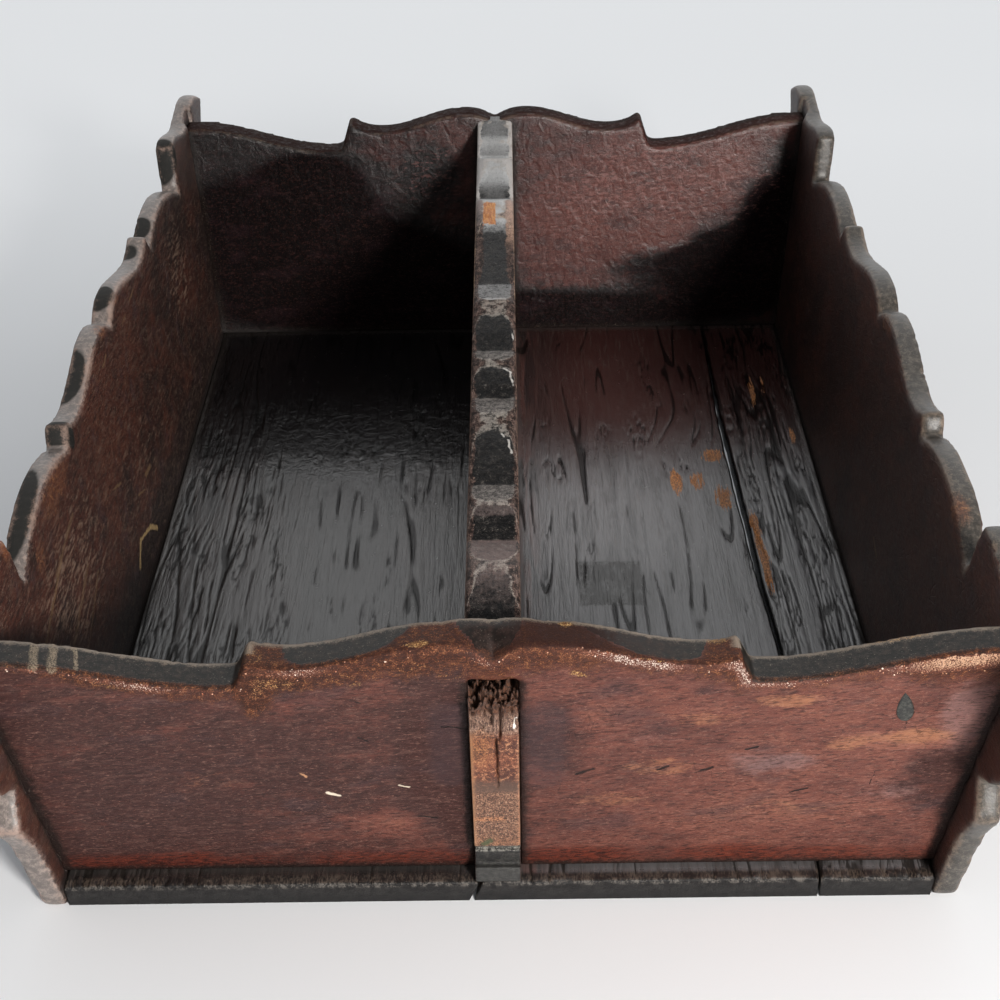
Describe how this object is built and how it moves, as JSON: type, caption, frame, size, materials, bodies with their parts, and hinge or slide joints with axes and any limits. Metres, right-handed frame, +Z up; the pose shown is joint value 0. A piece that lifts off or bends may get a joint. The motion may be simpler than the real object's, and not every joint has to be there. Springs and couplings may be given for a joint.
{
  "type": "ditty box",
  "caption": "Open wooden ditty tray with a scalloped divider, outward-leaning sides that run on into ears, and bowed end panels slotted over the divider's tenons.",
  "frame": {"origin": "under the middle of the floor, on the surface that the tray stands on", "axes": "+X across the tray to the right, +Y from the front end panel to the back one, +Z up"},
  "size_m": [0.2262, 0.347, 0.0838],
  "materials": {
    "side_wood": "thin stained boards under old dark varnish, ebonised edges worn to bare wood",
    "end_wood": "red-brown stained wood under old glossy varnish, ebonised top edge",
    "divider_wood": "dark stained wood, gouge-cut scallops with worn arrises, bare fibrous tenon ends",
    "floor_wood": "near-black crazed lacquer with ridged grain",
    "inlay_wood": "black wood, flush",
    "brad_wire": "dull drawn wire"
  },
  "bodies": {
    "root": {"side_panel_right": "side_wood", "side_panel_left": "side_wood", "end_panel_back": "end_wood", "end_panel_front": "end_wood", "divider": "divider_wood", "floor_board_left": "floor_wood", "floor_board_middle": "floor_wood", "floor_board_right": "floor_wood", "leaf_inlay": "inlay_wood", "side_brads_right": "brad_wire", "side_brads_left": "brad_wire", "end_brads_back": "brad_wire", "end_brads_front": "brad_wire", "divider_brads": "brad_wire"}
  },
  "joints": []
}
